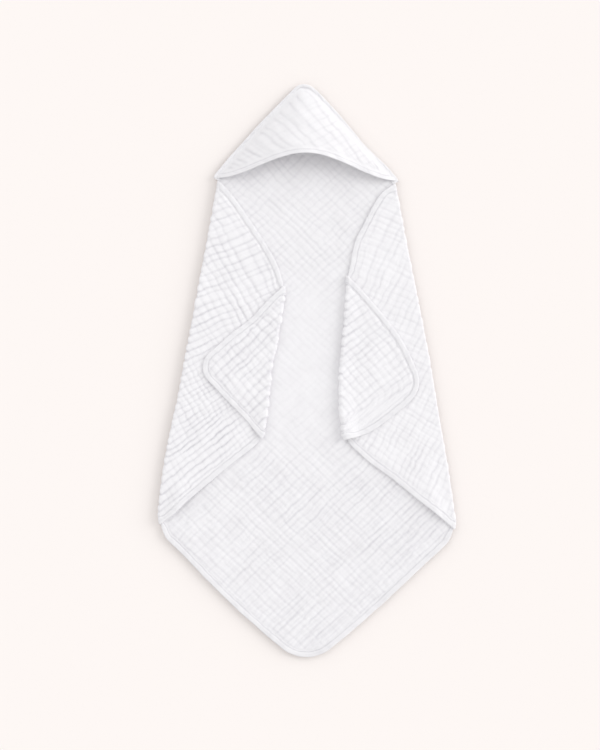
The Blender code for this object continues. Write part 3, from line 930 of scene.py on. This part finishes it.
def down_at(line, index):
    """The direction of a line from top to bottom at one of its ends."""
    near = line[-6:] if index < 0 else line[:6]
    return unit(near[-1] - near[0])


def stretch_of(line, first, last):
    """The part of a line between the points closest to two given ones, ends included."""
    a = int(np.argmin(np.linalg.norm(line - first, axis=1)))
    b = int(np.argmin(np.linalg.norm(line - last, axis=1)))
    middle = line[a + 1:b] if a < b else line[a - 1:b:-1]
    return resample(np.vstack([first, middle, last]))


def closed(*lines):
    """One closed outline from lines that follow each other, without double points."""
    points = []
    for line in lines:
        for point in line:
            if not points or np.linalg.norm(points[-1] - point) > SPACING * 0.35:
                points.append(point)
    while np.linalg.norm(points[-1] - points[0]) < SPACING * 0.35:
        points.pop()
    return np.array(points)


def indices_of(loop, line):
    """Indices in an outline of the points of one of its lines."""
    found = []
    for point in line:
        k = int(np.argmin(np.linalg.norm(loop - point, axis=1)))
        if not found or found[-1] != k:
            found.append(k)
    return found


bottom_hem = Hem(bottom_line, -down_at(left_seam, -1), -down_at(right_seam, -1))


# Heights of the layers

def body_level(points):
    """Middle height of the lying body."""
    return BODY_LEVEL + sway(points)


def flap_level(points):
    """Middle height of the side flaps, which stand up loosely at the feet of their folds."""
    lift = 0
    for foot, down in ((LEFT_FOOT, left_down), (RIGHT_FOOT, right_down)):
        near = np.exp(-(np.linalg.norm(points - foot, axis=1) / FOOT_LIFT_REACH) ** 2)
        free = smooth((np.abs((points - foot) @ left_of(down)) - 0.010) / 0.032)
        lift = lift + near * free
    return FLAP_LEVEL + sway(points) + FOOT_LIFT * lift


def tip_level_of(seam, roll, roll_shares):
    """Middle height of a turned-back tip, rolled up loosely beside its fold."""
    def level(points):
        near, index = closest_on(seam, points)
        size = roll * flowing(index / (len(seam) - 1), np.array(roll_shares))
        return TIP_LEVEL + sway(points) + size * (1 - smooth(near / ROLL_REACH))
    return level


# The body

def body_crinkle(points):
    """Squares at the neck, faint in the middle, clear slanting ribs towards the bottom point."""
    p = lines_at(points, BODY_FOOT, 43.5)
    q = lines_at(points, BODY_FOOT, -43.5)
    low = smooth((-0.06 - points[:, 1]) / 0.16)
    high = smooth((points[:, 1] - 0.08) / 0.16)
    return MUSLIN.height(p, q, 0.20 + 0.95 * low + 0.45 * high, 0.20 + 0.45 * low + 0.40 * high,
                         0.35 + 0.15 * low)


def neck_at(x):
    """The point of the neck line at this distance from the middle."""
    share = (x - NECK_LEFT[0]) / (NECK_RIGHT[0] - NECK_LEFT[0])
    return vec(x, NECK_LEFT[1] + share * (NECK_RIGHT[1] - NECK_LEFT[1]))


NECK_WAY = unit(NECK_RIGHT - NECK_LEFT)
hood_right = bowed(NECK_RIGHT, HOOD_TOP, RIGHT_HOOD_BOWS)
hood_left = bowed(HOOD_TOP, NECK_LEFT, LEFT_HOOD_BOWS)
hood_edge = rounded(hood_right, hood_left, TOP_REACH)
hood_hem = Hem(hood_edge, -NECK_WAY, NECK_WAY, HOOD_EDGE_WIDTH)


def body_panel():
    """The body's outline: the bottom hem, the right fold, the hood's edge, the left fold."""
    inset = resample(bottom_hem.inset())
    top = resample(hood_hem.inset())
    right = stretch_of(right_seam, inset[-1], right_seam[1])
    left = stretch_of(left_seam, left_seam[1], inset[0])
    hems = np.vstack([bottom_hem.line, hood_hem.line])
    return Panel("towel_body", closed(inset, right, top, left), hems, body_level, body_crinkle)


BODY = body_panel()


# The sides

def tip_corners(upper, fold, lower):
    """The tip fold and the hems that meet it, rounded where they meet."""
    upper, rest = split_below(rounded(upper, fold, TIP_TOP_REACH), fold[0][1] - 0.0015)
    whole = rounded(rest, lower[::-1], TIP_END_REACH)
    fold, lower = split_below(whole, fold[-1][1] + 0.0045)
    return upper, fold, lower[::-1]


def side_lines(name, sign, seam, tip_fold, lower_bows, upper_bows, corner, reach, tip_bows):
    """The lines of a flap and its tip.  sign is -1 on the left side and 1 on the right one."""
    lower = bowed(seam[-1], tip_fold[-1], lower_bows)
    upper = bowed(seam[1], tip_fold[0], upper_bows)
    upper, tip_fold, lower = tip_corners(upper, tip_fold, lower)
    at_foot, at_neck = -down_at(seam, -1), down_at(seam, 0)
    at_end, at_top = -down_at(tip_fold, -1), down_at(tip_fold, 0)
    if sign < 0:
        lower, upper = Hem(lower, at_foot, at_end), Hem(upper[::-1], at_top, at_neck)
        first, last, ways = tip_fold[0], tip_fold[-1], (at_top, at_end)
    else:
        lower, upper = Hem(lower[::-1], at_end, at_foot), Hem(upper, at_neck, at_top)
        first, last, ways = tip_fold[-1], tip_fold[0], (at_end, at_top)
    rim = rounded(bowed(first, corner, tip_bows[0]), bowed(corner, last, tip_bows[1]), reach)
    return dict(name=name, sign=sign, seam=seam, tip_fold=tip_fold, lower=lower, upper=upper,
                rim=Hem(rim, *ways))


LEFT = side_lines("left", -1, left_seam, bowed(LEFT_TIP_TOP, LEFT_TIP_END, LEFT_TIP_FOLD_BOWS),
                  LEFT_LOWER_BOWS, LEFT_UPPER_BOWS, LEFT_CORNER, LEFT_CORNER_REACH,
                  (LEFT_TIP_UPPER_BOWS, LEFT_TIP_LOWER_BOWS))
RIGHT = side_lines("right", 1, right_seam, bowed(RIGHT_TIP_TOP, RIGHT_TIP_END, RIGHT_TIP_FOLD_BOWS),
                   RIGHT_LOWER_BOWS, RIGHT_UPPER_BOWS, RIGHT_CORNER, RIGHT_CORNER_REACH,
                   (RIGHT_TIP_LOWER_BOWS, RIGHT_TIP_UPPER_BOWS))

# How high each tip is rolled up beside its fold, and the share of it from the fold's top to its end
LEFT_ROLL, LEFT_ROLL_SHARES = 0.0035, (0.5, 0.4, 0.5, 0.7, 0.6)
RIGHT_ROLL, RIGHT_ROLL_SHARES = 0.0045, (0.3, 0.4, 0.5, 0.9, 2.0)


def left_flap_crinkle(points):
    """Squares above, ribs that fan out along the lower hem below."""
    p = fanned(points, LEFT_FOOT, 39.8, 22.0, 0.24)
    q = hugging(points, LEFT["upper"].line, lines_at(points, LEFT_TOP, -60.5), 0.08)
    low = smooth((-0.04 - points[:, 1]) / 0.12)
    return MUSLIN.height(p, q, 1.0 + 0.50 * low, 0.95 - 0.65 * low, 0.25 - 0.15 * low)


def left_tip_crinkle(points):
    """Small squares along both hems."""
    p = lines_at(points, LEFT_TIP_TOP, 43.3)
    q = lines_at(points, LEFT_TIP_END, -49.0)
    return MUSLIN.height(p, q, 1.15, 1.0, 0.30)


def right_flap_crinkle(points):
    """Steep ribs along the upper hem, crossed by fainter ones."""
    p = hugging(points, RIGHT["upper"].line, lines_at(points, RIGHT_TOP, 63.0), 0.08)
    q = fanned(points, RIGHT_FOOT, -36.7, -24.0, 0.24)
    low = smooth((-0.04 - points[:, 1]) / 0.12)
    return MUSLIN.height(p, q, 0.64 + 0.35 * low, 0.58 - 0.15 * low, 0.35)


def right_tip_crinkle(points):
    """Ribs along the lower hem, crossed by fainter ones."""
    p = lines_at(points, RIGHT_TIP_END, 38.1)
    q = hugging(points, RIGHT["rim"].line, lines_at(points, RIGHT_TIP_TOP, -51.4), 0.05)
    return MUSLIN.height(p, q, 0.95, 0.7, 0.35)


def outward_of(side):
    """The way out from the towel across a side fold, and back in across a tip fold."""
    def away(line):
        across = left_of(unit(np.gradient(line, axis=0)))
        return across * (np.sign(across[:, :1]) * side)
    return away


def add_side(side, flap_crinkle, tip_crinkle, roll, roll_shares):
    """The flap, its turned-back tip, their bindings and stitches."""
    name, sign = side["name"], side["sign"]
    lower, upper, rim = side["lower"], side["upper"], side["rim"]
    out, back_in = outward_of(sign), outward_of(-sign)
    lower_in, upper_in, rim_in = (resample(hem.inset()) for hem in (lower, upper, rim))
    first, second = (lower_in, upper_in) if sign < 0 else (upper_in, lower_in)
    seam = stretch_of(side["seam"], second[-1], first[0])
    fold = stretch_of(side["tip_fold"], first[-1], second[0])
    flap_loop = closed(seam, first, fold, second)
    tip_seam = stretch_of(side["tip_fold"], rim_in[-1], rim_in[0])
    tip_loop = closed(tip_seam, rim_in)

    tip_level = tip_level_of(side["tip_fold"], roll, roll_shares)
    flap = Panel(name + "_flap", flap_loop, np.vstack([lower.line, upper.line]), flap_level,
                 flap_crinkle)
    tip = Panel(name + "_tip", tip_loop, rim.line, tip_level, tip_crinkle)
    flap_piece = panel_piece(flap, MUSLIN_LOOK, dict(indices=indices_of(flap_loop, seam), below=BODY,
                                                     outward=out, scallop=FLAP_SCALLOP))
    tip_piece = panel_piece(tip, MUSLIN_LOOK, dict(indices=indices_of(tip_loop, tip_seam), below=flap,
                                                   outward=back_in, scallop=TIP_SCALLOP))

    at_foot = out(side["seam"][-8:])[-1], body_level
    at_neck = out(side["seam"][:8])[0], body_level
    at_top = back_in(side["tip_fold"][:8])[0], flap_level
    at_end = back_in(side["tip_fold"][-8:])[-1], flap_level
    turns = ((at_foot, None), (None, at_neck), (at_top, at_end))
    if sign > 0:
        turns = [pair[::-1] for pair in turns]
    flap_body, tip_body = name + "_flap", name + "_tip"
    lower_tape = binding(name + "_lower_binding", lower, flap_level, *turns[0])
    upper_tape = binding(name + "_upper_binding", upper, flap_level, *turns[1])
    rim_tape = binding(name + "_tip_tape", rim, tip_level, *turns[2])
    for piece in (flap_piece, lower_tape, upper_tape):
        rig.blend(piece, "main", flap_body, *FLAP_BLEND)
    for piece in (tip_piece, rim_tape):
        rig.blend(piece, flap_body, tip_body, *TIP_BLEND)
    lower_row = stitching(name + "_lower_stitches", lower, flap_level, flap_body)
    upper_row = stitching(name + "_upper_stitches", upper, flap_level, flap_body)
    rim_row = stitching(name + "_tip_stitches", rim, tip_level, tip_body, margin=2 * STITCH_MARGIN)

    for piece, node in ((flap_piece, "flap_panel"), (tip_piece, "tip_panel"),
                        (lower_tape, "flap_lower_binding"), (lower_row, "flap_lower_stitching"),
                        (upper_tape, "flap_upper_binding"), (upper_row, "flap_upper_stitching"),
                        (rim_tape, "tip_binding"), (rim_row, "tip_stitching")):
        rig.replaces(piece, name + "_" + node)
    declare(flap_piece, flap, "folded", "towel_body", [lower_tape, upper_tape],
            [lower_row, upper_row])
    declare(tip_piece, tip, "folded", flap_piece.name, [rim_tape], [rim_row])


def declare(piece, panel, held, rests_on, tapes, rows):
    """Say that a panel is a sheet of cloth of its own flat size, and give each piece its slot."""
    width, length = panel.loop.max(axis=0) - panel.loop.min(axis=0)
    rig.sheet(piece, flat=(float(width), float(length)), held=held, rests_on=[rests_on],
             area=float(panel.area()), with_pieces=tapes + rows)
    for pieces, slot in (([piece], "towel_muslin"), (tapes, "binding_muslin"),
                         (rows, "stitching_thread")):
        for one in pieces:
            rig.slot(one, slot)


def add_body():
    """The body of the towel with its bottom hem."""
    piece = panel_piece(BODY, SHADED_BODY_LOOK)
    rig.blend(piece, "main", "hood", *NECK_BLEND)
    tape = binding("bottom_hem_binding", bottom_hem, body_level, body="main")
    row = stitching("bottom_hem_stitches", bottom_hem, body_level, "main")
    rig.replaces(piece, "main_panel", "hood_back_panel")
    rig.replaces(tape, "bottom_binding")
    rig.replaces(row, "bottom_stitching")
    declare(piece, BODY, "laid", "floor", [tape], [row])


# The hood

# The binding of the hood's edge goes on a little way round the neck's corners
HOOK_LEFT, HOOK_RIGHT = LEFT_TOP + vec(0.006, -0.007), RIGHT_TOP + vec(-0.006, -0.007)
hooked = rounded(np.vstack([HOOK_RIGHT, NECK_RIGHT]), hood_edge, HOOK_REACH)
hooked = rounded(hooked, np.vstack([NECK_LEFT, HOOK_LEFT]), HOOK_REACH)
hood_tape = Hem(hooked, width=HOOD_EDGE_WIDTH)


def arch_at(x):
    """How far the hood's front edge curves back from the neck line."""
    return FRONT_ARCH * np.cos(np.pi / 2 * x / HOOD_HALF) ** 2


def front_line():
    """The hood's front edge seen from above, from the left corner to the right one."""
    out = np.linspace(-HOOD_HALF * 0.955, HOOD_HALF * 0.955, 200)
    line = np.array([neck_at(x) for x in out])
    line[:, 1] += arch_at(out)
    return line


front_hem = Hem(front_line(), width=FRONT_WIDTH)
HOOD_CREASE, HOOD_CREASE_TOO = Noise(), Noise()
HOOD_CREASE_DEPTH = 0.0016
HOOD_FOCUS = vec(0.235, NECK_Y - 0.135)     # the hood's long creases run towards this point


def hood_fan(points):
    """Coordinates along and across the long creases of the hood."""
    away = points - HOOD_FOCUS
    return np.linalg.norm(away, axis=1), -0.27 * np.arctan2(away[:, 1], away[:, 0])


def hood_rise(points):
    """How far the hood's own layer domes up over the pocket."""
    sides = []
    for corner, turn in ((NECK_LEFT, 1), (NECK_RIGHT, -1)):
        direction = unit(HOOD_TOP - corner)
        sides.append(np.maximum((corner - points) @ left_of(direction) * turn, 0))
    across = 4 * sides[0] * sides[1] / np.maximum(sides[0] + sides[1], 1e-6) ** 2
    front = NECK_Y + arch_at(np.clip(points[:, 0], -HOOD_HALF, HOOD_HALF))
    share = np.clip((points[:, 1] - front) / (HOOD_TOP[1] - 0.02 - front), 0, 1)
    return HOOD_RISE * across ** 1.25 * (1 - share) ** 1.15


def hood_level(points):
    """Middle height of the hood's own layer."""
    near = distance_to(points, hood_hem.line)
    lift = 0.0036 + 0.0030 * smooth((near - 0.006) / 0.016)
    along, across = hood_fan(points)
    crease = (HOOD_CREASE(across / 0.017, along / 0.10)
              + 0.6 * HOOD_CREASE_TOO(across / 0.0085, along / 0.06))
    free = smooth((near - 0.012) / 0.03)
    return lift + hood_rise(points) + HOOD_CREASE_DEPTH * crease * free


def lean(piece):
    """Lean the raised front of a finished mesh a little forward."""
    points = np.array([v.co for v in piece.data.vertices])
    points[:, 1] -= FRONT_LEAN * np.clip((points[:, 2] - 0.008) / HOOD_RISE, 0, 1.2)
    piece.data.vertices.foreach_set("co", points.ravel())
    piece.data.update()


def hood_crinkle(points):
    """A smooth hood whose crinkle grows towards its lower corners."""
    p = lines_at(points, HOOD_TOP, 26.0)
    q = hood_fan(points)[1]
    low = smooth((np.abs(points[:, 0]) - 0.03) / 0.12)
    right = smooth((points[:, 0] + 0.02) / 0.08)
    return MUSLIN.height(p, q, 0.14 + 0.20 * low + 0.26 * right, 0.75 + 0.25 * low,
                         0.25 + 0.3 * low)


def add_hood():
    """The top corner of the towel, the layer sewn over it and their edges."""
    inset = resample(hood_hem.inset())
    front = resample(front_hem.inset())
    cover = Panel("hood_cover", closed(inset, front), np.vstack([hood_hem.line, front_hem.line]),
                  hood_level, hood_crinkle, HOOD_HEM_FLATNESS)
    cover_piece = panel_piece(cover, SHADED_HOOD_LOOK)

    def seam_level(points):
        return body_level(points) + 0.0006

    edge_tape = binding("hood_edge_tape", hood_tape, seam_level, half=HOOD_EDGE_HALF)
    edge_row = stitching("hood_edge_stitches", hood_hem, seam_level, half=HOOD_EDGE_HALF)
    front_tape = binding("hood_front_band", front_hem, hood_level, half=FRONT_HALF)
    front_row = stitching("hood_front_stitches", front_hem, hood_level, half=FRONT_HALF)
    for piece in (cover_piece, front_tape, front_row):
        lean(piece)
    for piece in (cover_piece, edge_tape, edge_row, front_tape, front_row):
        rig.blend(piece, "main", "hood", *NECK_BLEND)
    for piece, node in ((cover_piece, "panel"), (edge_tape, "edge_binding"),
                        (edge_row, "edge_stitching"), (front_tape, "front_binding"),
                        (front_row, "front_stitching")):
        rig.replaces(piece, "hood_" + node)
    declare(cover_piece, cover, "draped", "towel_body", [edge_tape, front_tape],
            [edge_row, front_row])


# The studio

SENSOR = 36                 # millimetres
CAMERA_PLACE = (-0.0124, -0.0066, 3.0)
VIEW_HEIGHT = 1.4535        # the picture shows this much of the ground from top to bottom
LIGHTS = (                  # name, strength, spread in degrees, direction it comes from
    ("key", 1.22, 40, (0.80, 0.28, 0.42)),
    ("side", 0.42, 60, (-0.50, 0.48, 0.60)),
)
FILL_POWER = 0.812
FLOOR_Z = -0.0065
FLOOR_COLOUR = (0.925, 0.875, 0.851, 1)


def add_camera():
    """Straight down from three metres, on a long lens."""
    data = bpy.data.cameras.new("camera")
    data.sensor_width = SENSOR
    data.lens = SENSOR * CAMERA_PLACE[2] / VIEW_HEIGHT
    camera = new_object("camera", data)
    camera.location = CAMERA_PLACE
    bpy.context.scene.camera = camera


def add_light():
    """A wide soft key from the right, a weaker light from the upper left and an even fill."""
    for name, power, spread, source in LIGHTS:
        data = bpy.data.lights.new(name, "SUN")
        data.energy = power
        data.angle = math.radians(spread)
        lamp = new_object(name, data)
        lamp.rotation_mode = "QUATERNION"
        lamp.rotation_quaternion = Vector(source).to_track_quat("Z", "Y")
    world = bpy.data.worlds.new("fill")
    world.use_nodes = True
    put(world.node_tree.nodes["Background"], Color=(1, 1, 1, 1), Strength=FILL_POWER)
    bpy.context.scene.world = world


def add_floor():
    """A plain, pale, warm floor."""
    mesh = bpy.data.meshes.new("floor")
    mesh.from_pydata([(-8, -8, 0), (8, -8, 0), (8, 8, 0), (-8, 8, 0)], [], [(0, 1, 2, 3)])
    floor = new_object("floor", mesh)
    floor.location.z = FLOOR_Z
    look = bpy.data.materials.new("paper")
    look.use_nodes = True
    put(look.node_tree.nodes["Principled BSDF"], Base_Color=FLOOR_COLOUR, Roughness=1.0,
        Specular_IOR_Level=0.0)
    mesh.materials.append(look)
    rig.stage(floor)


bpy.context.scene.view_settings.view_transform = "Standard"
add_camera()
add_light()
add_floor()
add_body()
add_side(LEFT, left_flap_crinkle, left_tip_crinkle, LEFT_ROLL, LEFT_ROLL_SHARES)
add_side(RIGHT, right_flap_crinkle, right_tip_crinkle, RIGHT_ROLL, RIGHT_ROLL_SHARES)
add_hood()

with open("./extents.json", "w") as size_file:
    json.dump({"cad": [list(corner) for corner in cad_box],
               "visual": [list(corner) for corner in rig.bounds()]}, size_file)
